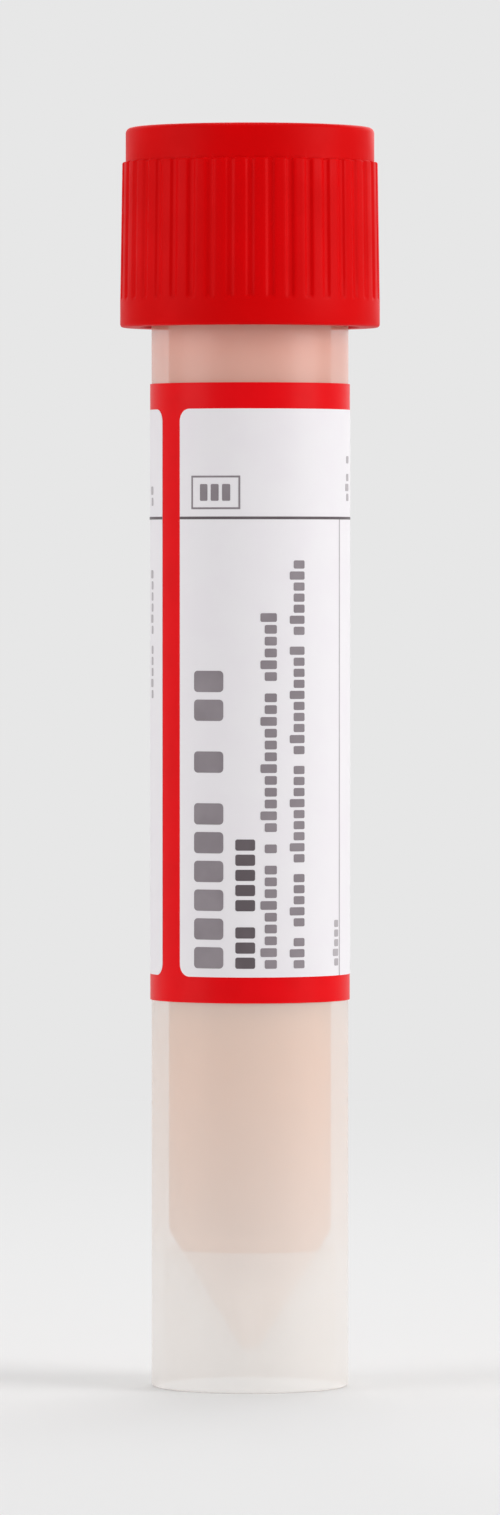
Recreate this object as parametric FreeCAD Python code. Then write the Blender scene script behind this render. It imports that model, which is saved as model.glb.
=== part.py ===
import FreeCAD, Part
import math
import os

# A self-standing specimen transport tube, in millimetres.
#
# The tube is a plain cylinder with a conical floor. Its wall runs on below the floor as a skirt, and
# the tube stands on the skirt's foot. Inside the cap the wall steps in to a slimmer threaded neck. A
# ribbed cap screws over the neck, and a soft washer inside it seals the rim. A printed label is
# wrapped round the wall, and liquid medium fills the floor.
#
# +Z runs up the axis, z = 0 is the foot, and the label's front faces -Y. Angles round the axis are in
# degrees from the front, positive towards +X. All pieces are placed with the cap screwed home.

# Tube
TUBE_HEIGHT = 100.0
TUBE_RADIUS = 8.0
BORE_RADIUS = 6.6
NECK_RADIUS = 7.8
NECK_BOTTOM_Z = 86.5
RIM_ROUND = 0.3

# Conical floor, measured from the axis
CONE_HALF_ANGLE = 31.5
CONE_TIP_Z = 1.6
CONE_TIP_RADIUS = 0.9
CONE_TIP_ROUND = 0.35
BORE_TIP_Z = 3.0
BORE_TIP_RADIUS = 0.65

# Skirt
SKIRT_RADIUS = 7.0
FOOT_ROUND = 0.25

# Screw thread, single start and right-handed
THREAD_LEAD = 3.0
THREAD_TURNS = 1.5
THREAD_HALF_WIDTH = 0.8
THREAD_FLANK_SLOPE = 0.7
THREAD_BITE = 0.15
TUBE_THREAD_START_Z = 94.2
TUBE_THREAD_HEIGHT = 0.85
TUBE_RUN_OUT_RADIUS = 12.0
CAP_THREAD_HEIGHT = 0.7
CAP_THREAD_LAG_TURNS = 0.5
CAP_RUN_OUT_RADIUS = 4.0
RUN_OUT_OVERCUT = 0.05
FLANK_GAP = 0.12

# Cap
CAP_BOTTOM_Z = 86.1
CAP_HEIGHT = 16.2
CAP_TOP_THICKNESS = 1.5
CAP_TOP_RADIUS = 10.1
CAP_TOP_ROUND = 0.45
CAP_BORE_RADIUS = 8.9
CAP_BAND_RADIUS = 10.55
CAP_BAND_HEIGHT = 2.2
CAP_BAND_ROUND = 0.25

# Grip ribs on the cap, left standing between grooves that grow shallow towards the top
RIB_COUNT = 40
RIB_HEAD_RADIUS = 10.38
RIB_HEAD_Z = 99.5
GROOVE_FOOT_RADIUS = 10.4
GROOVE_HEAD_RADIUS = 10.24
GROOVE_FLOOR_WIDTH = 0.35
GROOVE_MOUTH_WIDTH = 1.1
GROOVE_OVERCUT = 0.1

# Capture socket under the cap's top, which grips the broken end of a swab's shaft
SOCKET_BOTTOM_Z = 91.5
SOCKET_RADIUS = 3.8
SOCKET_MOUTH_RADIUS = 2.4
SOCKET_BORE_RADIUS = 1.15
SOCKET_FUNNEL_DEPTH = 1.2
SOCKET_ROOF = 0.4

# Sealing washer
SEAL_THICKNESS = 0.8
SEAL_OUTER_RADIUS = 8.6
SEAL_INNER_RADIUS = 6.0

# Label: one wrapped sheet whose printed ground shows as a frame round two pale panels
LABEL_BOTTOM_Z = 31.5
LABEL_HEIGHT = 50.0
LABEL_THICKNESS = 0.1
LABEL_GAP = 0.02
LABEL_END_ANGLE = 170.0
LABEL_CORNER_ROUND = 1.5
PRINT_THICKNESS = 0.03
FRAME_WIDTH = 2.1
FRAME_POST_LEFT_ANGLE = -60.5
FRAME_POST_RIGHT_ANGLE = -44.0
PANEL_CORNER_ROUND = 1.0
WINDOW_REACH = 1.0

# Liquid medium
LIQUID_LEVEL_Z = 32.0
LIQUID_GAP = 0.04

# A rounding this large is turned in two steps, and a smaller one in one
LARGE_ROUND = 0.4

# Two lengths closer than this are the same
SAME_LENGTH = 1e-6

AXIS = FreeCAD.Vector(0, 0, 1)
ORIGIN = FreeCAD.Vector(0, 0, 0)
CONE_SLOPE = math.tan(math.radians(CONE_HALF_ANGLE))


def cone_height_at(radius, tip_radius, tip_z):
    """Height where a cone that starts at the tip reaches the radius."""
    return tip_z + (radius - tip_radius) / CONE_SLOPE


def rounded_corner(before, here, after, rounding):
    """Points that turn a corner in even chords of its rounding arc, or the corner alone if it is sharp."""
    if not rounding:
        return [here]
    back = (before - here).normalize()
    onward = (after - here).normalize()
    half_corner = back.getAngle(onward) / 2
    centre = here + (back + onward).normalize() * (rounding / math.sin(half_corner))
    start = here + back * (rounding / math.tan(half_corner)) - centre
    end = here + onward * (rounding / math.tan(half_corner)) - centre
    sweep = start.getAngle(end)
    chords = 2 if rounding >= LARGE_ROUND else 1
    points = []
    for step in range(chords + 1):
        share = step / chords
        along = start * math.sin((1 - share) * sweep) + end * math.sin(share * sweep)
        points.append(centre + along / math.sin(sweep))
    return points


def rounded_outline(corners):
    """Closed wire in the XZ plane through (x, z, rounding) corners."""
    places = [FreeCAD.Vector(x, 0, z) for x, z, _ in corners]
    roundings = [rounding for _, _, rounding in corners]
    points = []
    for before, here, after, rounding in zip(places[-1:] + places, places, places[1:] + places, roundings):
        points += rounded_corner(before, here, after, rounding)
    return Part.makePolygon(points + points[:1])


def turned(corners):
    """Solid of revolution about the axis, from (x, z, rounding) corners."""
    return Part.Face(rounded_outline(corners)).revolve(ORIGIN, AXIS, 360)


def bore_corners(gap, top_z):
    """The tube's inside from the middle of its floor up to top_z, drawn in by gap."""
    half_angle = math.radians(CONE_HALF_ANGLE)
    tip_radius = BORE_TIP_RADIUS - gap * (1 - math.sin(half_angle)) / math.cos(half_angle)
    tip_z = BORE_TIP_Z + gap
    wall_radius = BORE_RADIUS - gap
    return [
        (0, tip_z, 0),
        (tip_radius, tip_z, 0),
        (wall_radius, cone_height_at(wall_radius, tip_radius, tip_z), 0),
        (wall_radius, top_z, 0),
    ]


def thread_section(root_radius, height):
    """Trapezoid across a thread ridge that stands on a wall. A negative height points inwards."""
    foot = root_radius - math.copysign(THREAD_BITE, height)
    crest_half_width = THREAD_HALF_WIDTH - THREAD_FLANK_SLOPE * abs(height)
    return Part.makePolygon([
        FreeCAD.Vector(foot, 0, -THREAD_HALF_WIDTH),
        FreeCAD.Vector(foot, 0, THREAD_HALF_WIDTH),
        FreeCAD.Vector(root_radius + height, 0, crest_half_width),
        FreeCAD.Vector(root_radius + height, 0, -crest_half_width),
        FreeCAD.Vector(foot, 0, -THREAD_HALF_WIDTH),
    ])


def thread_ridge(root_radius, height, run_out_radius, start_turn, start_z):
    """Helical ridge on a wall. A round cut that is all but tangent to the wall fades out each end."""
    spine = Part.makeHelix(THREAD_LEAD, THREAD_LEAD * THREAD_TURNS, root_radius)
    ridge = spine.makePipeShell([thread_section(root_radius, height)], True, True)
    cut_centre = root_radius + math.copysign(run_out_radius - RUN_OUT_OVERCUT, height)
    for turn in (0, THREAD_TURNS):
        cut_base = FreeCAD.Vector(cut_centre, 0, THREAD_LEAD * (turn - 0.5) + THREAD_HALF_WIDTH)
        cut_height = THREAD_LEAD - 2 * THREAD_HALF_WIDTH
        run_out = Part.makeCylinder(run_out_radius, cut_height, cut_base)
        run_out.rotate(ORIGIN, AXIS, 360 * turn)
        ridge = ridge.cut(run_out)
    ridge.rotate(ORIGIN, AXIS, 360 * start_turn)
    ridge.translate(AXIS * start_z)
    return ridge


def wrapped_window(bottom, top, left_angle, right_angle, corner_round):
    """Thick block bent round the tube where the label is, with its four outline corners rounded."""
    inner = TUBE_RADIUS - WINDOW_REACH
    outer = TUBE_RADIUS + WINDOW_REACH
    profile = Part.makePolygon([
        FreeCAD.Vector(0, -inner, bottom),
        FreeCAD.Vector(0, -outer, bottom),
        FreeCAD.Vector(0, -outer, top),
        FreeCAD.Vector(0, -inner, top),
        FreeCAD.Vector(0, -inner, bottom),
    ])
    profile.rotate(ORIGIN, AXIS, left_angle)
    block = Part.Face(profile).revolve(ORIGIN, AXIS, right_angle - left_angle)
    corner_edges = [edge for edge in block.Edges if abs(edge.Length - (outer - inner)) < SAME_LENGTH]
    return block.makeFillet(corner_round, corner_edges)


def thin_ring(inner, outer, bottom, height):
    """Tubular shell between two radii."""
    base = AXIS * bottom
    return Part.makeCylinder(outer, height, base).cut(Part.makeCylinder(inner, height, base))


def make_tube():
    """Tube in one piece: wall, conical floor, skirt, and the threaded neck that the cap hides."""
    wall = turned(bore_corners(0, TUBE_HEIGHT)[:-1] + [
        (BORE_RADIUS, TUBE_HEIGHT, RIM_ROUND),
        (NECK_RADIUS, TUBE_HEIGHT, RIM_ROUND),
        (NECK_RADIUS, NECK_BOTTOM_Z, 0),
        (TUBE_RADIUS, NECK_BOTTOM_Z, 0),
        (TUBE_RADIUS, 0, FOOT_ROUND),
        (SKIRT_RADIUS, 0, 0),
        (SKIRT_RADIUS, cone_height_at(SKIRT_RADIUS, CONE_TIP_RADIUS, CONE_TIP_Z), 0),
        (CONE_TIP_RADIUS, CONE_TIP_Z, CONE_TIP_ROUND),
        (0, CONE_TIP_Z, 0),
    ])
    thread = thread_ridge(NECK_RADIUS, TUBE_THREAD_HEIGHT, TUBE_RUN_OUT_RADIUS, 0, TUBE_THREAD_START_Z)
    return wall.fuse(thread)


def make_cap_shell():
    """The cap's turned form: outside without grooves, bore, and the capture socket in its middle."""
    top_z = CAP_BOTTOM_Z + CAP_HEIGHT
    ceiling_z = top_z - CAP_TOP_THICKNESS
    band_top_z = CAP_BOTTOM_Z + CAP_BAND_HEIGHT
    return turned([
        (0, top_z, 0),
        (CAP_TOP_RADIUS, top_z, CAP_TOP_ROUND),
        (CAP_TOP_RADIUS, RIB_HEAD_Z, 0),
        (RIB_HEAD_RADIUS, RIB_HEAD_Z, 0),
        (CAP_BAND_RADIUS, band_top_z, 0),
        (CAP_BAND_RADIUS, CAP_BOTTOM_Z, CAP_BAND_ROUND),
        (CAP_BORE_RADIUS, CAP_BOTTOM_Z, 0),
        (CAP_BORE_RADIUS, ceiling_z, 0),
        (SOCKET_RADIUS, ceiling_z, 0),
        (SOCKET_RADIUS, SOCKET_BOTTOM_Z, 0),
        (SOCKET_MOUTH_RADIUS, SOCKET_BOTTOM_Z, 0),
        (SOCKET_BORE_RADIUS, SOCKET_BOTTOM_Z + SOCKET_FUNNEL_DEPTH, 0),
        (SOCKET_BORE_RADIUS, ceiling_z - SOCKET_ROOF, 0),
        (0, ceiling_z - SOCKET_ROOF, 0),
    ])


def make_grip_grooves():
    """Cutters for the grooves between the ribs. They lean in with the cap's taper."""
    foot_z = CAP_BOTTOM_Z + CAP_BAND_HEIGHT
    mouth_radius = CAP_BAND_RADIUS + GROOVE_OVERCUT
    section = Part.makePolygon([
        FreeCAD.Vector(-GROOVE_FLOOR_WIDTH / 2, -GROOVE_FOOT_RADIUS, foot_z),
        FreeCAD.Vector(GROOVE_FLOOR_WIDTH / 2, -GROOVE_FOOT_RADIUS, foot_z),
        FreeCAD.Vector(GROOVE_MOUTH_WIDTH / 2, -mouth_radius, foot_z),
        FreeCAD.Vector(-GROOVE_MOUTH_WIDTH / 2, -mouth_radius, foot_z),
        FreeCAD.Vector(-GROOVE_FLOOR_WIDTH / 2, -GROOVE_FOOT_RADIUS, foot_z),
    ])
    lean = FreeCAD.Vector(0, GROOVE_FOOT_RADIUS - GROOVE_HEAD_RADIUS, RIB_HEAD_Z - foot_z)
    groove = Part.Face(section).extrude(lean)
    grooves = []
    for index in range(RIB_COUNT):
        copy = groove.copy()
        copy.rotate(ORIGIN, AXIS, 360 * index / RIB_COUNT)
        grooves.append(copy)
    return grooves


def make_screw_cap():
    """Cap in one piece, with grip ribs outside and the thread ridge in its bore."""
    flank_drop = 2 * THREAD_HALF_WIDTH - THREAD_FLANK_SLOPE * (CAP_BORE_RADIUS - NECK_RADIUS) + FLANK_GAP
    thread = thread_ridge(
        CAP_BORE_RADIUS,
        -CAP_THREAD_HEIGHT,
        CAP_RUN_OUT_RADIUS,
        -CAP_THREAD_LAG_TURNS,
        TUBE_THREAD_START_Z - flank_drop - THREAD_LEAD * CAP_THREAD_LAG_TURNS,
    )
    return make_cap_shell().cut(make_grip_grooves()).fuse(thread)


def make_cap_seal():
    """Flat washer between the tube's rim and the underside of the cap's top."""
    return thin_ring(SEAL_INNER_RADIUS, SEAL_OUTER_RADIUS, TUBE_HEIGHT, SEAL_THICKNESS)


def make_label_pieces():
    """The wrapped label with its printed ground, and the two pale panels printed on it."""
    inner = TUBE_RADIUS + LABEL_GAP
    outer = inner + LABEL_THICKNESS
    outline = wrapped_window(
        LABEL_BOTTOM_Z,
        LABEL_BOTTOM_Z + LABEL_HEIGHT,
        -LABEL_END_ANGLE,
        LABEL_END_ANGLE,
        LABEL_CORNER_ROUND,
    )
    sheet = thin_ring(inner, outer, LABEL_BOTTOM_Z, LABEL_HEIGHT).common(outline)
    ink = thin_ring(outer, outer + PRINT_THICKNESS, LABEL_BOTTOM_Z, LABEL_HEIGHT)
    end_strip_angle = math.degrees(FRAME_WIDTH / outer)
    spans = [
        (end_strip_angle - LABEL_END_ANGLE, FRAME_POST_LEFT_ANGLE),
        (FRAME_POST_RIGHT_ANGLE, LABEL_END_ANGLE - end_strip_angle),
    ]
    panels = []
    for left_angle, right_angle in spans:
        window = wrapped_window(
            LABEL_BOTTOM_Z + FRAME_WIDTH,
            LABEL_BOTTOM_Z + LABEL_HEIGHT - FRAME_WIDTH,
            left_angle,
            right_angle,
            PANEL_CORNER_ROUND,
        )
        panels.append(ink.common(window))
    return sheet, Part.makeCompound(panels)


def make_transport_medium():
    """Liquid that fills the conical floor and the lower bore to a flat level."""
    return turned(bore_corners(LIQUID_GAP, LIQUID_LEVEL_Z) + [(0, LIQUID_LEVEL_Z, 0)])


label, label_panels = make_label_pieces()
nodes = {
    "tube": make_tube(),
    "screw_cap": make_screw_cap(),
    "cap_seal": make_cap_seal(),
    "label": label,
    "label_panels": label_panels,
    "transport_medium": make_transport_medium(),
}

os.makedirs("parts", exist_ok=True)
for name, shape in nodes.items():
    shape.exportStep("parts/" + name + ".step")
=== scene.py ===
"""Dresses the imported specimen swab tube: fine forms, finishes, label print, light and camera.

Shapes are modelled in millimetres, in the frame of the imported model, and turned into metres when a
piece is published. Angles round the tube are counted from the label's front, positive towards +X.
"""

import logging
import math
from dataclasses import dataclass
from enum import Enum

import bmesh
import bpy
from mathutils import Matrix, Vector


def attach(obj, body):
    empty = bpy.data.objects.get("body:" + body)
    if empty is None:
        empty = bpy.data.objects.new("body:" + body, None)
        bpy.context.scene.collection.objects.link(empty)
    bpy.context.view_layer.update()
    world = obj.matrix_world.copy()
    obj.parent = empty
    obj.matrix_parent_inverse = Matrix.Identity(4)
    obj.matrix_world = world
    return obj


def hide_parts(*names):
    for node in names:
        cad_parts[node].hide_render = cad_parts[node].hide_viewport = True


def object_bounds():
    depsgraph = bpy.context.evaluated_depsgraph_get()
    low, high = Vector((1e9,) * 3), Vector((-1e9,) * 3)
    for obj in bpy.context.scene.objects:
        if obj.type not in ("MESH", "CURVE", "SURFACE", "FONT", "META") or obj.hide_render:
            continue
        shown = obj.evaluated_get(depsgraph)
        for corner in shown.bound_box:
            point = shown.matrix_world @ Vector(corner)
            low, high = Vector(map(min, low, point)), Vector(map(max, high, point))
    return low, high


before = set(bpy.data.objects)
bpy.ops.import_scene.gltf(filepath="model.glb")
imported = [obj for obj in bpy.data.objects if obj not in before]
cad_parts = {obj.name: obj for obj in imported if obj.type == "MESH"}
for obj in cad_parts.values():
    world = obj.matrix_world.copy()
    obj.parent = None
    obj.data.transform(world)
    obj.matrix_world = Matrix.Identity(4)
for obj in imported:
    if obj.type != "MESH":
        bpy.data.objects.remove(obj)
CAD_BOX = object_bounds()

MM = 0.001
FULL_TURN = 2.0 * math.pi
AXIS = Vector((0.0, 0.0, 1.0))
ORIGIN = Vector((0.0, 0.0, 0.0))
WELD = 0.0002
ROUND_SEGMENTS = 4
NODE_SPACING = 220
# A Mix node's colour sockets, whose names its number and vector sockets have too.
MIX_FIRST, MIX_SECOND, MIX_RESULT = 6, 7, 2
SHARP_ANGLE = math.radians(40.0)
SECTOR_LAYER = "place"

Colour = tuple[float, float, float, float]
Pair = tuple[float, float]
Node = bpy.types.Node
Socket = bpy.types.NodeSocket
Mesh = bmesh.types.BMesh
Vertex = bmesh.types.BMVert

log = logging.getLogger("specimen_swab_tube")


# --- Shader helpers ---


class NodeBoard:
    """Adds and wires nodes in one shader tree."""

    def __init__(self, tree: bpy.types.NodeTree) -> None:
        """Start a board on a node tree."""
        self.tree = tree
        self.column = 0

    def add(self, kind: str, settings: dict | None = None, **inputs: object) -> Node:
        """Add a node, set it up and place it right of the last one.

        Args:
            kind: The node's Blender type name.
            settings: Node properties, such as an operation.
            inputs: Socket values or sockets to link, with spaces in names written as underscores.

        Returns:
            The new node.
        """
        node = self.tree.nodes.new(kind)
        node.location = (NODE_SPACING * self.column, 0)
        self.column += 1
        for name, value in (settings or {}).items():
            setattr(node, name, value)
        for name, value in inputs.items():
            self.feed(node.inputs[name.replace("_", " ")], value)
        return node

    def feed(self, socket: Socket, value: object) -> None:
        """Link a socket to another one, or give it a constant.

        Args:
            socket: The input socket.
            value: An output socket, or a plain value.
        """
        if isinstance(value, Socket):
            self.tree.links.new(value, socket)
        else:
            socket.default_value = value

    def wire(self, node: Node, *values: object) -> Node:
        """Feed a node's inputs in order.

        Args:
            node: The node.
            values: Output sockets or plain values, in order.

        Returns:
            The same node.
        """
        for socket, value in zip(node.inputs, values):
            self.feed(socket, value)
        return node

    def math(self, operation: str, first: object, second: object = 0.0) -> Socket:
        """Work on two sockets or numbers with a math node."""
        return self.wire(self.add("ShaderNodeMath", {"operation": operation}), first, second).outputs[0]

    def ramp(self, value: Socket, *limits: object, kind: str = "SMOOTHSTEP") -> Socket:
        """Map a value from between two limits to between two others, and hold it at the ends."""
        node = self.add("ShaderNodeMapRange", {"interpolation_type": kind})
        return self.wire(node, value, *limits).outputs[0]

    def mix(self, share: object, first: Socket, second: Socket) -> Socket:
        """Mix two shaders by the second one's share."""
        return self.wire(self.add("ShaderNodeMixShader"), share, first, second).outputs[0]

    def seen(self) -> Socket:
        """Tell whether a ray only looks: from the camera, off a gloss or through something clear.

        Returns:
            The socket, which is 1 for such a ray.
        """
        rays = self.add("ShaderNodeLightPath").outputs
        seen = self.math("MAXIMUM", rays["Is Camera Ray"], rays["Is Glossy Ray"])
        return self.math("MAXIMUM", seen, rays["Is Transmission Ray"])

    def blend(self, share: object, first: object, second: object) -> Socket:
        """Mix two colours.

        Args:
            share: The second colour's share.
            first: The first colour, a socket or four numbers.
            second: The second colour, a socket or four numbers.

        Returns:
            The mixed colour's socket.
        """
        node = self.add("ShaderNodeMix", {"data_type": "RGBA"}, Factor=share)
        self.feed(node.inputs[MIX_FIRST], first)
        self.feed(node.inputs[MIX_SECOND], second)
        return node.outputs[MIX_RESULT]


class Effect(Enum):
    """Shader groups that several finishes share, each a name with its inputs and outputs."""

    GRAIN = "moulding grain", ("Grain Size", "Cloud Size"), ("Height", "Cloud")
    HEIGHT_MASK = "height mask", ("From", "To"), ("Mask",)


class EffectLibrary:
    """Builds each shared shader group once and hands it out."""

    def __init__(self) -> None:
        """Start with no group built."""
        self.groups: dict[Effect, bpy.types.NodeTree] = {}

    def place(self, board: NodeBoard, effect: Effect, **inputs: object) -> Node:
        """Place a shared group in a material.

        Args:
            board: The material's board.
            effect: The group wanted.
            inputs: The group's inputs, named as for NodeBoard.add.

        Returns:
            The group node.
        """
        if effect not in self.groups:
            makers = {Effect.GRAIN: self._grain, Effect.HEIGHT_MASK: self._height_mask}
            self.groups[effect] = makers[effect]()
        return board.add("ShaderNodeGroup", {"node_tree": self.groups[effect]}, **inputs)

    def height_mask(self, board: NodeBoard, heights: Pair) -> Socket:
        """Place a mask that runs from 0 to 1 between two heights in millimetres."""
        low, high = heights
        return self.place(board, Effect.HEIGHT_MASK, From=low * MM, To=high * MM).outputs["Mask"]

    @staticmethod
    def _group(effect: Effect) -> tuple[NodeBoard, Node, Node]:
        """Start a group with its sockets.

        Args:
            effect: The group to start.

        Returns:
            The board, the group's input node and its output node.
        """
        name, takes, gives = effect.value
        tree = bpy.data.node_groups.new(name, "ShaderNodeTree")
        for side, labels in (("INPUT", takes), ("OUTPUT", gives)):
            for label in labels:
                tree.interface.new_socket(label, in_out=side, socket_type="NodeSocketFloat")
        board = NodeBoard(tree)
        return board, board.add("NodeGroupInput"), board.add("NodeGroupOutput")

    def _grain(self) -> bpy.types.NodeTree:
        """Build the fine surface grain of a moulded or coated surface.

        Returns:
            The group's tree.
        """
        board, entry, leave = self._group(Effect.GRAIN)
        place = board.add("ShaderNodeTexCoord").outputs["Object"]
        for index, (detail, gain) in enumerate(((2.0, 0.55), (3.0, 0.5))):
            scale = board.math("DIVIDE", 1.0, entry.outputs[index])
            noise = board.add("ShaderNodeTexNoise", Vector=place, Scale=scale, Detail=detail, Roughness=gain)
            board.feed(leave.inputs[index], noise.outputs["Fac"])
        return board.tree

    def _height_mask(self) -> bpy.types.NodeTree:
        """Build a mask that runs from 0 to 1 between two heights.

        Returns:
            The group's tree.
        """
        board, entry, leave = self._group(Effect.HEIGHT_MASK)
        place = board.add("ShaderNodeTexCoord").outputs["Object"]
        height = board.add("ShaderNodeSeparateXYZ", Vector=place).outputs["Z"]
        mask = board.ramp(height, entry.outputs["From"], entry.outputs["To"], 0.0, 1.0, kind="LINEAR")
        board.feed(leave.inputs["Mask"], mask)
        return board.tree


EFFECTS = EffectLibrary()


def rgba(red: float, green: float, blue: float) -> Colour:
    """Turn display colour values from 0 to 255 into a linear colour with alpha."""
    return (*(_linear(part / 255.0) for part in (red, green, blue)), 1.0)


def _linear(value: float) -> float:
    """Undo the display curve on one colour value from 0 to 1."""
    return value / 12.92 if value <= 0.04045 else ((value + 0.055) / 1.055) ** 2.4


# --- Finishes ---


@dataclass(frozen=True, kw_only=True)
class Finish:
    """A named surface finish, built as a material the first time it is asked for."""

    name: str
    colour: Colour

    def material(self) -> bpy.types.Material:
        """Give the finish's material, building it if it isn't there yet.

        Returns:
            The material.
        """
        material = bpy.data.materials.get(self.name)
        if not material:
            material = bpy.data.materials.new(self.name)
            material.use_nodes = True
            material.node_tree.nodes.clear()
            board = NodeBoard(material.node_tree)
            board.add("ShaderNodeOutputMaterial", Surface=self.paint(board))
        return material

    def paint(self, board: NodeBoard) -> Socket:
        """Build the finish and give its shader. Each kind of finish has its own way."""
        raise NotImplementedError


@dataclass(frozen=True, kw_only=True)
class GrainedFinish(Finish):
    """Surface with a fine grain, whose colour and roughness drift a little over it.

    Grain and clouds are measured in millimetres. A cover under 1 lets what lies behind show through.
    """

    clouded_colour: Colour
    roughness: Pair
    grain_size: float
    cloud_size: float
    grain_depth: float
    colour_drift: Pair = (0.3, 0.7)
    roughness_drift: Pair = (0.3, 0.7)
    roughness_source: str = "Cloud"
    most_clouded: float = 1.0
    refraction: float = 1.49
    specular: float = 0.5
    clarity: float = 0.0
    cover: float = 1.0

    def tint(self, board: NodeBoard, cloud: Socket) -> Socket:
        """Give the surface's colour, which drifts with a slow variation from 0 to 1."""
        share = board.ramp(cloud, *self.colour_drift, 0.0, self.most_clouded)
        return board.blend(share, self.colour, self.clouded_colour)

    def paint(self, board: NodeBoard) -> Socket:
        """Build the grained surface.

        Args:
            board: The material's board.

        Returns:
            The Principled shader's socket.
        """
        surface = board.add("ShaderNodeBsdfPrincipled")
        sizes = {"Grain_Size": self.grain_size * MM, "Cloud_Size": self.cloud_size * MM}
        grain = EFFECTS.place(board, Effect.GRAIN, **sizes).outputs
        board.feed(surface.inputs["Base Color"], self.tint(board, grain["Cloud"]))
        rough = board.ramp(grain[self.roughness_source], *self.roughness_drift, *self.roughness)
        board.feed(surface.inputs["Roughness"], rough)
        surface.inputs["IOR"].default_value = self.refraction
        surface.inputs["Specular IOR Level"].default_value = self.specular
        surface.inputs["Transmission Weight"].default_value = self.clarity
        surface.inputs["Alpha"].default_value = self.cover
        if self.grain_depth:
            bump = board.add("ShaderNodeBump", Height=grain["Height"], Distance=self.grain_depth * MM)
            board.feed(surface.inputs["Normal"], bump.outputs["Normal"])
        return surface.outputs["BSDF"]


@dataclass(frozen=True, kw_only=True)
class MilkyMoulding(GrainedFinish):
    """Milky polypropylene, with painted red reflection from the cap and painted shade under it, rising
    towards the neck. Heights are in millimetres.
    """

    colour: Colour = rgba(251, 249, 247)
    clouded_colour: Colour = rgba(249, 246, 243)
    cap_bounce_and_shade_colour: Colour
    # Heights between which the painted cap reflection and shade grow from none to full.
    neck: Pair = (40.0, 84.0)
    roughness: Pair = (0.31, 0.37)
    roughness_drift: Pair = (0.25, 0.75)
    grain_size: float = 0.35
    cloud_size: float = 9.0
    grain_depth: float = 0.004

    def tint(self, board: NodeBoard, cloud: Socket) -> Socket:
        """Give the plastic's colour with the painted red cap reflection and painted shade mixed in towards
        the neck.
        """
        # rise is the share of painted red reflection from the cap and painted shade under it.
        rise = EFFECTS.height_mask(board, self.neck)
        return board.blend(rise, super().tint(board, cloud), self.cap_bounce_and_shade_colour)


@dataclass(frozen=True, kw_only=True)
class FilledMoulding(MilkyMoulding):
    """Milky wall that the liquid against it tints, more so higher up. Heights are in millimetres."""

    medium_colour: Colour
    # Heights over which the liquid's tint grows from its least share to full, so the wall is paler lower
    # down.
    tint_rise: Pair = (2.0, 30.0)
    level: Pair = (31.9, 32.1)
    least_share: float = 0.55

    def tint(self, board: NodeBoard, cloud: Socket) -> Socket:
        """Give the wall's colour with the liquid's share in it.

        Args:
            board: The material's board.
            cloud: A slow variation from 0 to 1.

        Returns:
            The colour's socket.
        """
        share = board.ramp(EFFECTS.height_mask(board, self.tint_rise), 0.0, 1.0, self.least_share, 1.0)
        below = board.math("SUBTRACT", 1.0, EFFECTS.height_mask(board, self.level))
        share = board.math("MULTIPLY", share, below)
        return board.blend(share, super().tint(board, cloud), self.medium_colour)


@dataclass(frozen=True, kw_only=True)
class PrintedFilm(GrainedFinish):
    """Label film under print, with the faint unevenness of pressed ink."""

    grain_size: float = 0.12
    cloud_size: float = 3.0
    grain_depth: float = 0.002
    colour_drift: Pair = (0.35, 0.75)
    roughness_source: str = "Height"
    refraction: float = 1.47
    specular: float = 0.1


@dataclass(frozen=True, kw_only=True)
class Liquid(GrainedFinish):
    """Watery medium, in its clouded colour where its edge climbs the wall, in millimetres."""

    climb: Pair = (31.9, 32.5)

    def tint(self, board: NodeBoard, cloud: Socket) -> Socket:
        """Give the liquid's colour, which changes only at its edge."""
        return board.blend(EFFECTS.height_mask(board, self.climb), self.colour, self.clouded_colour)


@dataclass(frozen=True, kw_only=True)
class StudioPaper(Finish):
    """Pale paper, clear from below, whose shading fades out between two distances in millimetres."""

    shading_fades: Pair
    roughness: float = 0.9
    specular: float = 0.1

    def paint(self, board: NodeBoard) -> Socket:
        """Build matt paper that turns into an even glow where it is seen far from the object.

        Args:
            board: The material's board.

        Returns:
            The blended shader's socket.
        """
        surface = board.add("ShaderNodeBsdfPrincipled")
        surface.inputs["Base Color"].default_value = self.colour
        surface.inputs["Roughness"].default_value = self.roughness
        surface.inputs["Specular IOR Level"].default_value = self.specular
        near, distant = self.shading_fades
        place = board.add("ShaderNodeTexCoord").outputs["Object"]
        distance = board.wire(board.add("ShaderNodeVectorMath", {"operation": "LENGTH"}), place)
        far = board.ramp(distance.outputs["Value"], near * MM, distant * MM, 0.0, 1.0)
        glow = board.add("ShaderNodeEmission", Color=self.colour, Strength=1.0).outputs["Emission"]
        even = board.mix(board.math("MULTIPLY", board.seen(), far), surface.outputs["BSDF"], glow)
        below = board.add("ShaderNodeNewGeometry").outputs["Backfacing"]
        return board.mix(below, even, board.add("ShaderNodeBsdfTransparent").outputs["BSDF"])


# Each skin's neck colour is painted red reflection from the cap and painted shade under it, not the
# plastic's own tint.
OUTER_SKIN = FilledMoulding(
    name="milky_polypropylene",
    cap_bounce_and_shade_colour=rgba(250, 182, 160),
    medium_colour=rgba(250, 238, 230),
    least_share=0.3,
    tint_rise=(8.0, 30.0),
    cover=0.5,
)
THIN_SKIN = MilkyMoulding(name="milky_polypropylene_foot", cap_bounce_and_shade_colour=rgba(246, 192, 174), cover=0.3)
BORE_WALL = FilledMoulding(
    name="milky_polypropylene_bore",
    cap_bounce_and_shade_colour=rgba(251, 224, 214),
    medium_colour=rgba(252, 204, 171),
    cover=0.82,
)
RED_CAP = GrainedFinish(
    name="red_polypropylene",
    colour=rgba(216, 0, 3),
    clouded_colour=rgba(210, 0, 2),
    roughness=(0.41, 0.5),
    grain_size=0.25,
    cloud_size=5.0,
    grain_depth=0.004,
    specular=0.05,
)
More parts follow.
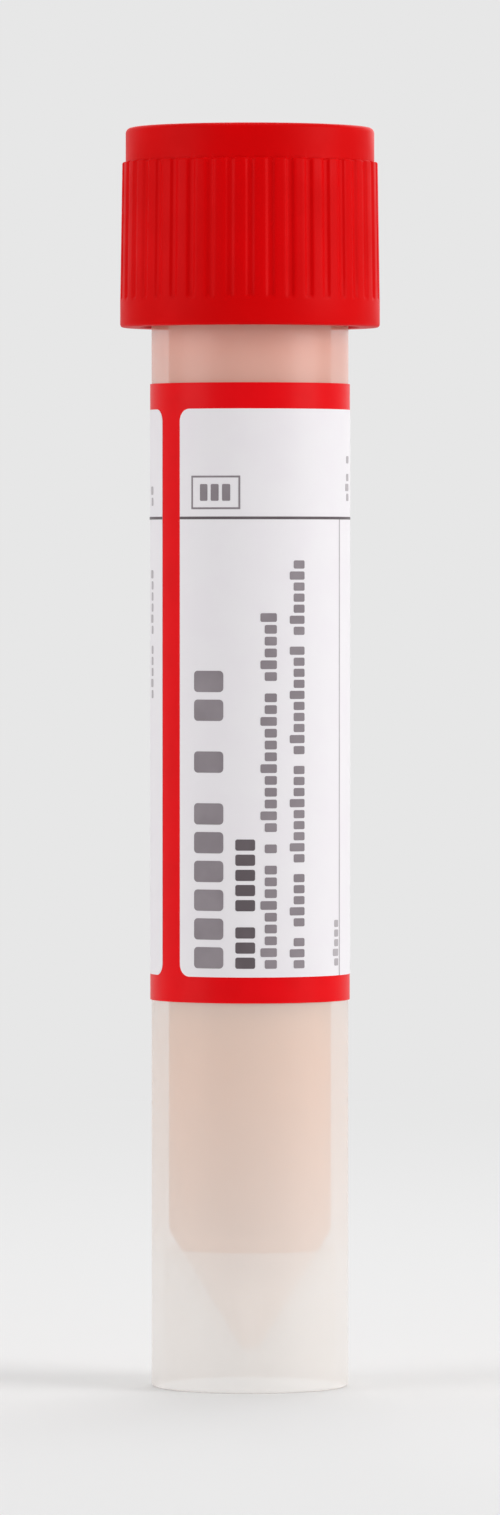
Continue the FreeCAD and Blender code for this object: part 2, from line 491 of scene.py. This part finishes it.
PALE_SEAL = GrainedFinish(
    name="pale_silicone",
    colour=rgba(222, 220, 214),
    clouded_colour=rgba(240, 239, 235),
    roughness=(0.5, 0.62),
    grain_size=0.2,
    cloud_size=2.0,
    grain_depth=0.006,
    most_clouded=0.5,
    refraction=1.42,
)
BEIGE_LIQUID = Liquid(
    name="beige_medium",
    colour=rgba(240, 200, 176),
    clouded_colour=rgba(250, 232, 220),
    roughness=(0.04, 0.07),
    grain_size=1.5,
    cloud_size=6.0,
    grain_depth=0.0,
    refraction=1.34,
    clarity=0.85,
)
RED_PRINT, WHITE_PRINT, DARK_INK, GREY_INK, PALE_INK = (
    PrintedFilm(name=name, colour=colour, clouded_colour=worn_colour, roughness=roughness)
    for name, colour, worn_colour, roughness in (
        ("red_label_print", rgba(232, 3, 14), rgba(226, 2, 11), (0.31, 0.38)),
        ("white_label_print", rgba(238, 235, 238), rgba(237, 233, 237), (0.33, 0.4)),
        ("dark_ink", rgba(98, 90, 94), rgba(108, 100, 104), (0.39, 0.46)),
        ("grey_ink", rgba(138, 130, 135), rgba(148, 140, 145), (0.39, 0.46)),
        ("pale_ink", rgba(178, 172, 176), rgba(186, 180, 184), (0.39, 0.46)),
    )
)
PALE_PAPER = StudioPaper(name="pale_studio_paper", colour=rgba(231, 231, 231), shading_fades=(60.0, 400.0))


# --- Shape helpers ---


@dataclass(frozen=True)
class Corner:
    """One corner of a turned outline, with the radius of its rounding, in millimetres."""

    radius: float
    height: float
    rounding: float = 0.0

    def holds(self, vertex: Vertex) -> bool:
        """Tell whether a vertex lies on the ring that the corner makes when it is turned."""
        distance = math.hypot(vertex.co.x, vertex.co.y)
        return abs(distance - self.radius) < WELD and abs(vertex.co.z - self.height) < WELD


def chain(mesh: Mesh, points: list[Vertex]) -> list[bmesh.types.BMEdge]:
    """Join each point to the next by an edge."""
    return [mesh.edges.new(pair) for pair in zip(points, points[1:])]


def turn(mesh: Mesh, parts: list, angle: float, steps: int, **options: object) -> None:
    """Spin parts of a mesh about the tube's axis by an angle in radians."""
    bmesh.ops.spin(mesh, geom=parts, cent=ORIGIN, axis=AXIS, angle=angle, steps=steps, **options)


def weld(mesh: Mesh) -> None:
    """Merge points that meet and point the faces outwards."""
    bmesh.ops.remove_doubles(mesh, verts=mesh.verts, dist=WELD)
    bmesh.ops.recalc_face_normals(mesh, faces=mesh.faces)


def round_rings(mesh: Mesh, outline: list[Corner], segments: int = ROUND_SEGMENTS) -> None:
    """Round the rings that the corners of an outline make, each by its own radius.

    Args:
        mesh: The turned mesh.
        outline: All corners, in order.
        segments: How many facets a rounding has.
    """
    for index, corner in enumerate(outline):
        if not corner.rounding:
            continue
        before = outline[index - 1]
        after = outline[(index + 1) % len(outline)]
        back = Vector((before.radius - corner.radius, before.height - corner.height))
        onward = Vector((after.radius - corner.radius, after.height - corner.height))
        bmesh.ops.bevel(
            mesh,
            geom=[edge for edge in mesh.edges if all(corner.holds(vertex) for vertex in edge.verts)],
            offset=corner.rounding / math.tan(back.angle(onward) / 2.0),
            offset_type="OFFSET",
            segments=segments,
            profile=0.5,
            affect="EDGES",
            clamp_overlap=False,
            material=-1,
        )


@dataclass
class TurnedShape:
    """An outline turned a full circle about the axis, with rounded corners."""

    outline: list[Corner]
    steps: int = 128
    segments: int = ROUND_SEGMENTS

    def build(self) -> Mesh:
        """Turn the outline and round its corners.

        Returns:
            The closed mesh, with its faces outwards.
        """
        mesh = bmesh.new()
        points = [mesh.verts.new((corner.radius, 0.0, corner.height)) for corner in self.outline]
        closed = self.outline[0].radius and self.outline[-1].radius
        lines = chain(mesh, points + points[:1] if closed else points)
        turn(mesh, points + lines, FULL_TURN, self.steps, use_merge=True)
        weld(mesh)
        round_rings(mesh, self.outline, self.segments)
        return mesh


@dataclass
class ThreadRidge:
    """A single-start right-handed thread ridge that fades out at both ends, in millimetres."""

    root_radius: float
    height: float
    start_angle: float
    start_z: float
    turns: float = 1.5
    lead: float = 3.0
    half_width: float = 0.8
    flank_slope: float = 0.7
    bite: float = 0.1
    fade_turns: float = 0.06
    steps_per_turn: int = 96

    def build(self) -> Mesh:
        """Sweep the ridge's section along its helix and fade its ends.

        Returns:
            The ridge as a closed mesh.
        """
        foot = self.root_radius - math.copysign(self.bite, self.height)
        crest = self.root_radius + self.height
        crest_half_width = self.half_width - self.flank_slope * abs(self.height)
        mesh = bmesh.new()
        section = [
            mesh.verts.new((foot, 0.0, -self.half_width)),
            mesh.verts.new((crest, 0.0, -crest_half_width)),
            mesh.verts.new((crest, 0.0, crest_half_width)),
            mesh.verts.new((foot, 0.0, self.half_width)),
        ]
        loop = chain(mesh, section + section[:1])
        climb = AXIS * (self.lead / self.steps_per_turn)
        steps = round(self.turns * self.steps_per_turn)
        turn(mesh, section + loop, FULL_TURN * self.turns, steps, dvec=climb)
        bmesh.ops.holes_fill(mesh, edges=[edge for edge in mesh.edges if edge.is_boundary], sides=4)
        for vertex in mesh.verts:
            self._fade(vertex, foot)
        twist = Matrix.Rotation(math.radians(self.start_angle), 3, "Z")
        bmesh.ops.rotate(mesh, verts=mesh.verts, cent=ORIGIN, matrix=twist)
        bmesh.ops.translate(mesh, verts=mesh.verts, vec=AXIS * self.start_z)
        bmesh.ops.recalc_face_normals(mesh, faces=mesh.faces)
        return mesh

    def _fade(self, vertex: Vertex, foot: float) -> None:
        """Sink a vertex towards the wall near either end of the ridge.

        Args:
            vertex: The vertex to move.
            foot: The radius that the ridge sinks to.
        """
        part_turn = math.atan2(vertex.co.y, vertex.co.x) / FULL_TURN % 1.0
        done = part_turn + round(vertex.co.z / self.lead - part_turn)
        share = min(done, self.turns - done) / self.fade_turns
        share = smooth_step(max(0.0, min(1.0, share)))
        distance = math.hypot(vertex.co.x, vertex.co.y)
        shrink = (foot + (distance - foot) * share) / distance
        vertex.co.x *= shrink
        vertex.co.y *= shrink


def smooth_step(share: float) -> float:
    """Ease a share between 0 and 1 in and out."""
    return share * share * (3.0 - 2.0 * share)


def join(mesh: Mesh, other: Mesh) -> None:
    """Move another mesh's parts into a mesh and free the other.

    Args:
        mesh: The mesh that takes the parts.
        other: The mesh that gives them.
    """
    carrier = bpy.data.meshes.new("carrier")
    other.to_mesh(carrier)
    other.free()
    mesh.from_mesh(carrier)
    bpy.data.meshes.remove(carrier)


def add_object(name: str, data: bpy.types.ID) -> bpy.types.Object:
    """Put a new object in the scene, at the origin.

    Args:
        name: The object's name.
        data: Its mesh, light or camera.

    Returns:
        The object.
    """
    item = bpy.data.objects.new(name, data)
    bpy.context.scene.collection.objects.link(item)
    return item


def publish(mesh: Mesh, name: str, *finishes: Finish) -> bpy.types.Object:
    """Turn a mesh in millimetres into a finished object in metres, smooth but for its sharp edges.

    Args:
        mesh: The mesh, which is freed.
        name: The new object's name.
        finishes: Its finishes, in the order of the faces' material numbers.

    Returns:
        The object, at the origin.
    """
    bmesh.ops.scale(mesh, vec=(MM, MM, MM), verts=mesh.verts)
    for face in mesh.faces:
        face.smooth = True
    for edge in mesh.edges:
        edge.smooth = edge.is_manifold and edge.calc_face_angle() < SHARP_ANGLE
    data = bpy.data.meshes.new(name)
    mesh.to_mesh(data)
    mesh.free()
    for finish in finishes:
        data.materials.append(finish.material())
    return add_object(name, data)


def stand_in(mesh: Mesh, name: str, body: str, node: str, *finishes: Finish) -> None:
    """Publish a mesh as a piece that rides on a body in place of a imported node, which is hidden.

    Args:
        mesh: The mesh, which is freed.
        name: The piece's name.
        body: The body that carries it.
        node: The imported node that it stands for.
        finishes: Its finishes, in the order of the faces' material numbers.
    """
    piece = publish(mesh, name, *finishes)
    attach(piece, body)
    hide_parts(node)
    log.info("%s: %d faces, stands for %s", name, len(piece.data.polygons), node)


def dress(node: str, finish: Finish) -> None:
    """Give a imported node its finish.

    Args:
        node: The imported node's name.
        finish: The finish.
    """
    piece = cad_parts[node]
    piece.data.materials.clear()
    piece.data.materials.append(finish.material())
    log.info("%s: kept from the packed model", node)


# --- The tube and what it holds ---


@dataclass
class TransportTube:
    """The moulded tube: wall, conical floor, skirt and threaded neck, in millimetres."""

    height: float = 100.0
    radius: float = 8.0
    bore_radius: float = 6.6
    neck_radius: float = 7.8
    neck_bottom: float = 86.5
    skirt_radius: float = 7.0
    cone_half_angle: float = 31.5
    cone_tip: Pair = (0.9, 1.6)
    bore_tip: Pair = (0.65, 3.0)
    rim_round: float = 0.3
    foot_round: float = 0.25
    tip_round: float = 0.35
    shoulder_round: float = 1.2
    ledge_round: float = 0.08
    skirt_edge_round: float = 0.12
    skirt_roof_round: float = 0.15
    thread_height: float = 0.85
    thread_start_angle: float = 0.0
    thread_start_z: float = 94.2
    outside_from: float = 7.3
    bore_up_to: float = 6.8
    least_down: float = -0.3

    def cone_height(self, tip: Pair, radius: float) -> float:
        """Give the height where a cone reaches a radius. Its tip is a radius and a height."""
        return tip[1] + (radius - tip[0]) / math.tan(math.radians(self.cone_half_angle))

    def outline(self) -> list[Corner]:
        """List the tube's corners.

        Returns:
            The corners from the middle of the bore's floor to the middle of the underside.
        """
        shoulder = self.cone_height(self.bore_tip, self.bore_radius)
        skirt_roof = self.cone_height(self.cone_tip, self.skirt_radius)
        return [
            Corner(0.0, self.bore_tip[1]),
            Corner(*self.bore_tip, self.tip_round),
            Corner(self.bore_radius, shoulder, self.shoulder_round),
            Corner(self.bore_radius, self.height, self.rim_round),
            Corner(self.neck_radius, self.height, self.rim_round),
            Corner(self.neck_radius, self.neck_bottom),
            Corner(self.radius, self.neck_bottom, self.ledge_round),
            Corner(self.radius, 0.0, self.foot_round),
            Corner(self.skirt_radius, 0.0, self.skirt_edge_round),
            Corner(self.skirt_radius, skirt_roof, self.skirt_roof_round),
            Corner(*self.cone_tip, self.tip_round),
            Corner(0.0, self.cone_tip[1]),
        ]

    def skin_of(self, face: bmesh.types.BMFace) -> int:
        """Tell which skin a face belongs to.

        Args:
            face: A face of the tube.

        Returns:
            Its material number: 0 outside, 1 on the rim and inside the foot, 2 in the bore.
        """
        reach = face.calc_center_median().xy.length
        if reach > self.outside_from:
            return 0
        return 1 if reach > self.bore_up_to or face.normal.z < self.least_down else 2

    def build(self) -> None:
        """Build the tube with its thread."""
        mesh = TurnedShape(self.outline()).build()
        thread = (self.neck_radius, self.thread_height, self.thread_start_angle, self.thread_start_z)
        join(mesh, ThreadRidge(*thread).build())
        for face in mesh.faces:
            face.material_index = self.skin_of(face)
        stand_in(mesh, "moulded_tube", "tube", "tube", OUTER_SKIN, THIN_SKIN, BORE_WALL)


@dataclass
class MediumColumn:
    """The liquid in the tube's floor, with the curve it climbs the wall by, in millimetres."""

    tube: TransportTube
    level: float = 32.0
    wall_gap: float = 0.04
    climb: float = 0.5
    climb_width: float = 1.3
    climb_steps: int = 5

    def outline(self) -> list[Corner]:
        """List the liquid's corners.

        Returns:
            The corners from the bottom of the cone to the middle of its surface.
        """
        tip = (self.tube.bore_tip[0] - self.wall_gap, self.tube.bore_tip[1] + self.wall_gap)
        wall = self.tube.bore_radius - self.wall_gap
        surface = []
        for step in range(self.climb_steps + 1):
            share = 1.0 - step / self.climb_steps
            reach = wall - self.climb_width * (1.0 - share)
            surface.append(Corner(reach, self.level + self.climb * share**2))
        return [
            Corner(0.0, tip[1]),
            Corner(*tip, self.tube.tip_round),
            Corner(wall, self.tube.cone_height(tip, wall), self.tube.shoulder_round),
            *surface,
            Corner(0.0, self.level),
        ]

    def build(self) -> None:
        """Build the liquid."""
        mesh = TurnedShape(self.outline()).build()
        stand_in(mesh, "medium_column", "tube", "transport_medium", BEIGE_LIQUID)


# --- The cap ---


@dataclass(frozen=True)
class Level:
    """One ring of the cap: the radius of its ribs, its height and how deep its grooves are."""

    radius: float
    height: float
    groove: float = 0.0


@dataclass
class RibbedCap:
    """The screw cap: grip ribs and bands outside, thread and capture socket inside, in millimetres."""

    bottom: float = 86.1
    height: float = 16.2
    top_thickness: float = 1.5
    top_radius: float = 10.1
    top_round: float = 0.45
    band_radius: float = 10.55
    band_height: float = 2.2
    band_round: float = 0.25
    bore_radius: float = 8.9
    mouth_round: float = 0.15
    rib_count: int = 40
    rib_head_radius: float = 10.38
    rib_head_z: float = 99.5
    rib_head_round: float = 0.14
    rib_head_ease: float = 0.3
    ledge_height: float = 0.9
    groove_foot_radius: float = 10.4
    groove_head_radius: float = 10.24
    groove_run_in: float = 0.22
    groove_floor_half_width: float = 0.13
    groove_mouth_half_width: float = 0.44
    groove_flank_steps: int = 4
    wall_levels: int = 6
    socket_radius: float = 3.8
    socket_bottom: float = 91.5
    socket_mouth_radius: float = 2.4
    socket_bore_radius: float = 1.15
    socket_funnel_depth: float = 1.2
    socket_roof: float = 0.4
    thread_height: float = 0.7
    thread_start_angle: float = -180.0
    thread_start_z: float = 91.75

    def sector(self) -> list[Pair]:
        """List the places across one rib pitch, from one land's middle to the next.

        Returns:
            Angles in radians from the groove's middle, each with the groove's share of its depth there.
        """
        half_pitch = math.pi / self.rib_count
        floor = self.groove_floor_half_width
        mouth = self.groove_mouth_half_width
        flank = (mouth - floor) / self.groove_flank_steps
        reaches = [0.0] + [floor + flank * step for step in range(self.groove_flank_steps + 1)]
        places = []
        for reach in reaches:
            share = 1.0 - smooth_step(max(0.0, reach - floor) / (mouth - floor))
            places.append((reach / self.band_radius, share))
        places.append(((places[-1][0] + half_pitch) / 2.0, 0.0))
        places.append((half_pitch, 0.0))
        return [(-angle, share) for angle, share in reversed(places[1:])] + places

    def wall(self) -> list[Level]:
        """List the levels of the ribbed wall.

        Returns:
            The levels from the ribs' heads down to their feet.
        """
        foot_z = self.bottom + self.band_height
        rise = self.rib_head_z - foot_z
        levels = []
        for step in range(self.wall_levels + 1):
            drop = step / self.wall_levels * (rise - self.rib_head_round - self.groove_run_in)
            height = self.rib_head_z - self.rib_head_round - drop
            up = (height - foot_z) / rise
            radius = self.band_radius + (self.rib_head_radius - self.band_radius) * up
            floor = self.groove_foot_radius + (self.groove_head_radius - self.groove_foot_radius) * up
            levels.append(Level(radius, height, radius - floor))
        return levels

    def outside(self) -> list[Level]:
        """List the cap's levels.

        Returns:
            The levels from its top edge down the outside and up the inside.
        """
        top = self.bottom + self.height
        band_top = self.bottom + self.band_height
        ceiling = top - self.top_thickness
        roof = ceiling - self.socket_roof
        head = self.rib_head_radius - self.top_radius
        chamfer = self.rib_head_round
        ease = chamfer * self.rib_head_ease
        return [
            Level(self.top_radius, top),
            Level(self.top_radius, self.rib_head_z + self.ledge_height),
            Level(self.top_radius, self.rib_head_z),
            Level(self.rib_head_radius - chamfer, self.rib_head_z, head - chamfer),
            Level(self.rib_head_radius - ease, self.rib_head_z - ease, head - ease),
            *self.wall(),
            Level(self.band_radius, band_top),
            Level(self.band_radius, band_top - self.groove_run_in),
            Level(self.band_radius, self.bottom),
            Level(self.bore_radius, self.bottom),
            Level(self.bore_radius, ceiling),
            Level(self.socket_radius, ceiling),
            Level(self.socket_radius, self.socket_bottom),
            Level(self.socket_mouth_radius, self.socket_bottom),
            Level(self.socket_bore_radius, self.socket_bottom + self.socket_funnel_depth),
            Level(self.socket_bore_radius, roof),
            Level(0.0, roof),
        ]

    def roundings(self) -> list[Corner]:
        """List the plain corners of the cap's outline that are rounded.

        Returns:
            The corners in order, with their neighbours.
        """
        top = self.bottom + self.height
        return [
            Corner(0.0, top),
            Corner(self.top_radius, top, self.top_round),
            Corner(self.top_radius, self.bottom),
            Corner(self.band_radius, self.bottom + self.band_height),
            Corner(self.band_radius, self.bottom, self.band_round),
            Corner(self.bore_radius, self.bottom, self.mouth_round),
            Corner(self.bore_radius, top),
        ]

    def build(self) -> None:
        """Build one rib's sector, repeat it round the axis and add the thread."""
        mesh = bmesh.new()
        number = mesh.verts.layers.int.new(SECTOR_LAYER)
        levels = self.outside()
        points = [mesh.verts.new(self._spot(levels[0], *place)) for place in self.sector()]
        for index, vertex in enumerate(points):
            vertex[number] = index
        rim = chain(mesh, points)
        self._grow(mesh, rim, levels[1:])
        self._grow(mesh, rim, [Level(0.0, levels[0].height)])
        mesh.verts.layers.int.remove(number)
        parts = mesh.verts[:] + mesh.edges[:] + mesh.faces[:]
        copies = self.rib_count - 1
        turn(mesh, parts, FULL_TURN * copies / self.rib_count, copies, use_duplicate=True)
        weld(mesh)
        round_rings(mesh, self.roundings())
        thread = (self.bore_radius, -self.thread_height, self.thread_start_angle, self.thread_start_z)
        join(mesh, ThreadRidge(*thread).build())
        stand_in(mesh, "ribbed_cap", "cap", "screw_cap", RED_CAP)

    @staticmethod
    def _spot(level: Level, angle: float, share: float) -> Vector:
        """Give a point on a level by its angle in radians and the groove's share of its depth there."""
        radius = level.radius - level.groove * share
        return Vector((radius * math.sin(angle), -radius * math.cos(angle), level.height))

    def _grow(self, mesh: Mesh, rim: list[bmesh.types.BMEdge], levels: list[Level]) -> None:
        """Extrude a sector's rim from level to level.

        Args:
            mesh: The mesh that grows, whose layer has each vertex's number in the sector.
            rim: The edges to start from.
            levels: The levels to reach, in order.
        """
        sector = self.sector()
        number = mesh.verts.layers.int[SECTOR_LAYER]
        for level in levels:
            grown = bmesh.ops.extrude_edge_only(mesh, edges=rim)["geom"]
            fresh = {part for part in grown if isinstance(part, Vertex)}
            for vertex in fresh:
                vertex.co = self._spot(level, *sector[vertex[number]])
            edges = [part for part in grown if isinstance(part, bmesh.types.BMEdge)]
            rim = [edge for edge in edges if fresh.issuperset(edge.verts)]


@dataclass
class SealingWasher:
    """The soft washer under the cap's top, in millimetres."""

    bottom: float = 100.0
    thickness: float = 0.8
    outer_radius: float = 8.6
    inner_radius: float = 6.0
    edge_round: float = 0.18
    steps: int = 96
    segments: int = 3

    def build(self) -> None:
        """Build the washer."""
        top = self.bottom + self.thickness
        outline = [
            Corner(self.inner_radius, self.bottom, self.edge_round),
            Corner(self.outer_radius, self.bottom, self.edge_round),
            Corner(self.outer_radius, top, self.edge_round),
            Corner(self.inner_radius, top, self.edge_round),
        ]
        mesh = TurnedShape(outline, self.steps, self.segments).build()
        stand_in(mesh, "sealing_washer", "seal", "cap_seal", PALE_SEAL)


# --- The label ---


class Ink(Enum):
    """Inks that the label's marks are printed in."""

    DARK = DARK_INK
    GREY = GREY_INK
    PALE = PALE_INK


@dataclass(frozen=True)
class Mark:
    """A printed patch on the label. Its sides are angles in degrees and heights in millimetres."""

    left: float
    right: float
    bottom: float
    top: float
    ink: Ink
    corner: float = 0.0


@dataclass(frozen=True)
class Row:
    """A row of blank cells that runs up the tube where such a label has a line of words.

    The baseline is an angle in degrees, the other sizes are in millimetres, and what a cell fills, its
    corner and the gap between words are shares of the pitch.
    """

    baseline: float
    start: float
    cell_height: float
    pitch: float
    words: tuple[int, ...]
    ink: Ink
    tall_every: int = 4
    tall_factor: float = 1.35
    filled: float = 0.74
    cell_corner: float = 0.14
    word_gap: float = 0.8

    def marks(self, degrees_per_mm: float) -> list[Mark]:
        """List the row's cells, with a taller one at even intervals.

        Args:
            degrees_per_mm: The angle that a millimetre round the label spans.

        Returns:
            One mark for each cell.
        """
        marks = []
        foot = self.start
        for word in self.words:
            for letter in range(word):
                tall = self.tall_factor if letter % self.tall_every == 1 else 1.0
                crown = self.baseline - self.cell_height * tall * degrees_per_mm
                head = foot + self.pitch * self.filled
                corner = self.pitch * self.cell_corner
                marks.append(Mark(crown, self.baseline, foot, head, self.ink, corner))
                foot += self.pitch
            foot += self.pitch * self.word_gap
        return marks


@dataclass
class PrintedLabel:
    """The wrapped label with its red ground, white panels and generic form marks.

    Panels, rules and the box span degrees and millimetres. The box's margin is a share of its height,
    and the gap on either side of its cells a share of their pitch.
    """

    panel_radius: float = 8.15
    ink_thickness: float = 0.012
    facet: float = 0.35
    divider_z: float = 70.6
    divider_weight: float = 0.22
    rule_weight: float = 0.15
    panel_bottom: float = 33.6
    left_panel: Pair = (-155.0, -60.5)
    right_panel: Pair = (-44.0, 155.0)
    form_rule_angle: float = 62.0
    box: tuple[float, float, float, float] = (-35.4, -5.5, 71.3, 74.0)
    box_margin: float = 0.25
    box_cells: int = 3
    box_cell_gap: float = 0.15
    box_cell_corner: float = 0.1

    def degrees(self, width: float) -> float:
        """Give the angle in degrees that an arc of a width in millimetres spans on the panels."""
        return math.degrees(width / self.panel_radius)

    def rules(self) -> list[Mark]:
        """List the label's ruled lines and its small box.

        Returns:
            The marks of the divider, the upright rule, the box and its cells.
        """
        low = self.divider_z - self.divider_weight / 2.0
        high = self.divider_z + self.divider_weight / 2.0
        post = self.degrees(self.rule_weight)
        left, right, bottom, top = self.box
        sill, lintel = bottom + self.rule_weight, top - self.rule_weight
        marks = [
            Mark(*self.left_panel, low, high, Ink.DARK),
            Mark(*self.right_panel, low, high, Ink.DARK),
            Mark(self.form_rule_angle, self.form_rule_angle + post, self.panel_bottom, low, Ink.PALE),
            Mark(left, right, bottom, sill, Ink.GREY),
            Mark(left, right, lintel, top, Ink.GREY),
            Mark(left, left + post, sill, lintel, Ink.GREY),
            Mark(right - post, right, sill, lintel, Ink.GREY),
        ]
        margin = (top - bottom) * self.box_margin
        pitch = (right - left - 2.0 * self.degrees(margin)) / self.box_cells
        for index in range(self.box_cells):
            start = left + self.degrees(margin) + pitch * (index + self.box_cell_gap)
            end = start + pitch * (1.0 - 2.0 * self.box_cell_gap)
            marks.append(Mark(start, end, bottom + margin, top - margin, Ink.GREY, self.box_cell_corner))
        return marks

    def rows(self) -> list[Row]:
        """List the rows of blank cells.

        Returns:
            The rows of both panels.
        """
        return [
            Row(-15.3, 34.3, 2.6, 2.32, (6, 1, 2), Ink.GREY, tall_factor=1.0),
            Row(2.9, 34.3, 1.6, 1.22, (3, 5), Ink.DARK, tall_factor=1.0),
            Row(15.4, 34.3, 1.0, 0.95, (9, 1, 12, 6), Ink.GREY),
            Row(32.6, 34.3, 1.0, 0.89, (3, 5, 9, 10, 7), Ink.GREY),
            Row(61.0, 34.4, 0.6, 0.78, (5,), Ink.PALE),
            Row(78.0, 72.0, 0.7, 0.8, (3, 1), Ink.PALE),
            Row(-74.0, 56.0, 0.55, 0.9, (5, 6), Ink.PALE),
            Row(-74.0, 71.6, 0.55, 0.9, (2,), Ink.PALE),
        ]

    def build(self) -> None:
        """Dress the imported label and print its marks."""
        dress("label", RED_PRINT)
        dress("label_panels", WHITE_PRINT)
        marks = self.rules()
        for row in self.rows():
            marks += row.marks(self.degrees(1.0))
        for ink in Ink:
            mesh = bmesh.new()
            for mark in marks:
                if mark.ink is ink:
                    join(mesh, self._patch(mark))
            piece = publish(mesh, f"label_print_{ink.name.lower()}", ink.value)
            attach(piece, "tube")
            log.info("%s: %d faces, printed on the label", piece.name, len(piece.data.polygons))

    def _patch(self, mark: Mark) -> Mesh:
        """Build one printed patch and bend it round the label.

        Args:
            mark: The mark to print.

        Returns:
            The patch as a closed mesh.
        """
        left = math.radians(mark.left) * self.panel_radius
        width = math.radians(mark.right - mark.left) * self.panel_radius
        height = mark.top - mark.bottom
        mesh = bmesh.new()
        bmesh.ops.create_grid(mesh, x_segments=1, y_segments=1, size=0.5)
        bmesh.ops.scale(mesh, vec=(width, height, 1.0), verts=mesh.verts)
        middle = (left + width / 2.0, mark.bottom + height / 2.0, self.panel_radius)
        bmesh.ops.translate(mesh, vec=middle, verts=mesh.verts)
        if mark.corner:
            bmesh.ops.bevel(
                mesh,
                geom=mesh.verts[:],
                offset=mark.corner,
                segments=ROUND_SEGMENTS,
                profile=0.5,
                affect="VERTICES",
                material=-1,
            )
        for step in range(1, math.ceil(width / self.facet)):
            bmesh.ops.bisect_plane(
                mesh,
                geom=mesh.verts[:] + mesh.edges[:] + mesh.faces[:],
                plane_co=(left + step * self.facet, 0.0, 0.0),
                plane_no=(1.0, 0.0, 0.0),
            )
        grown = bmesh.ops.extrude_face_region(mesh, geom=mesh.faces[:])["geom"]
        lifted = [part for part in grown if isinstance(part, Vertex)]
        bmesh.ops.translate(mesh, vec=(0.0, 0.0, self.ink_thickness), verts=lifted)
        for vertex in mesh.verts:
            angle = vertex.co.x / self.panel_radius
            radius = vertex.co.z
            vertex.co = (radius * math.sin(angle), -radius * math.cos(angle), vertex.co.y)
        bmesh.ops.recalc_face_normals(mesh, faces=mesh.faces)
        return mesh


# --- The studio ---


@dataclass
class Softbox:
    """A plain square lamp that faces the tube. Places and sizes in metres, power in watts."""

    name: str
    place: tuple[float, float, float]
    side: float
    power: float

    def build(self, target: Vector) -> None:
        """Hang the lamp and turn it towards a place.

        Args:
            target: Where the lamp points.
        """
        data = bpy.data.lights.new(self.name, "AREA")
        data.shape = "SQUARE"
        data.size = self.side
        data.energy = self.power
        lamp = add_object(self.name, data)
        lamp.location = self.place
        lamp.rotation_euler = (target - Vector(self.place)).to_track_quat("-Z", "Y").to_euler()


@dataclass
class Studio:
    """Pale paper floor, soft light and the camera. Sizes in metres."""

    floor_radius: float = 6.0
    floor_segments: int = 96
    foot_opening: float = 0.0077
    sky_strength: float = 0.4
    camera_distance: float = 0.75
    camera_elevation: float = 1.2
    frame_share: float = 0.83
    sensor: float = 36.0

    def build(self, low: Vector, high: Vector) -> None:
        """Build the stage, the light and the camera round a box.

        Args:
            low: The lowest corner of the object's box.
            high: The highest corner of the object's box.
        """
        middle = (low + high) / 2.0
        self._floor()
        self._sky()
        for lamp in (
            Softbox("key_softbox", (0.76, -0.3, 0.34), 0.5, 4.0),
            Softbox("fill_softbox", (-0.84, -0.34, 0.3), 0.6, 3.0),
            Softbox("back_softbox", (0.15, 0.85, 0.45), 0.7, 2.6),
            Softbox("top_softbox", (0.0, 0.1, 0.95), 0.6, 2.7),
            Softbox("under_softbox", (0.0, 0.0, -0.5), 0.4, 1.5),
        ):
            lamp.build(middle)
        self._camera(middle, high.z - low.z)

    def _floor(self) -> None:
        """Lay the round floor, left open under the tube's foot so that light reaches its underside."""
        mesh = bmesh.new()
        ends = [mesh.verts.new((reach / MM, 0.0, 0.0)) for reach in (self.foot_opening, self.floor_radius)]
        turn(mesh, [*ends, mesh.edges.new(ends)], FULL_TURN, self.floor_segments, use_merge=True)
        publish(mesh, "studio_floor", PALE_PAPER)

    def _sky(self) -> None:
        """Fill the room with even light, seen as the same pale paper all round."""
        world = bpy.data.worlds.new("studio_air")
        world.use_nodes = True
        board = NodeBoard(world.node_tree)
        glow = world.node_tree.nodes["Background"]
        even = (self.sky_strength,) * 3 + (1.0,)
        board.feed(glow.inputs["Color"], board.blend(board.seen(), even, PALE_PAPER.colour))
        glow.inputs["Strength"].default_value = 1.0
        bpy.context.scene.world = world

    def _camera(self, middle: Vector, tall: float) -> None:
        """Set the camera up in front of the label.

        Args:
            middle: What the camera looks at.
            tall: The object's height.
        """
        data = bpy.data.cameras.new("front_camera")
        data.sensor_fit = "VERTICAL"
        data.sensor_width = data.sensor_height = self.sensor
        data.lens = self.sensor * self.camera_distance * self.frame_share / tall
        camera = add_object("front_camera", data)
        rise = math.radians(self.camera_elevation)
        away = Vector((0.0, -math.cos(rise), math.sin(rise)))
        camera.location = middle + away * self.camera_distance
        camera.rotation_euler = (-away).to_track_quat("-Z", "Y").to_euler()
        bpy.context.scene.camera = camera


def main() -> None:
    """Build every piece in order, then the studio."""
    logging.basicConfig(level=logging.INFO, format="%(message)s")
    bpy.context.scene.view_settings.view_transform = "Standard"
    tube = TransportTube()
    tube.build()
    MediumColumn(tube).build()
    SealingWasher().build()
    RibbedCap().build()
    PrintedLabel().build()
    Studio().build(*CAD_BOX)


if __name__ == "__main__":
    main()
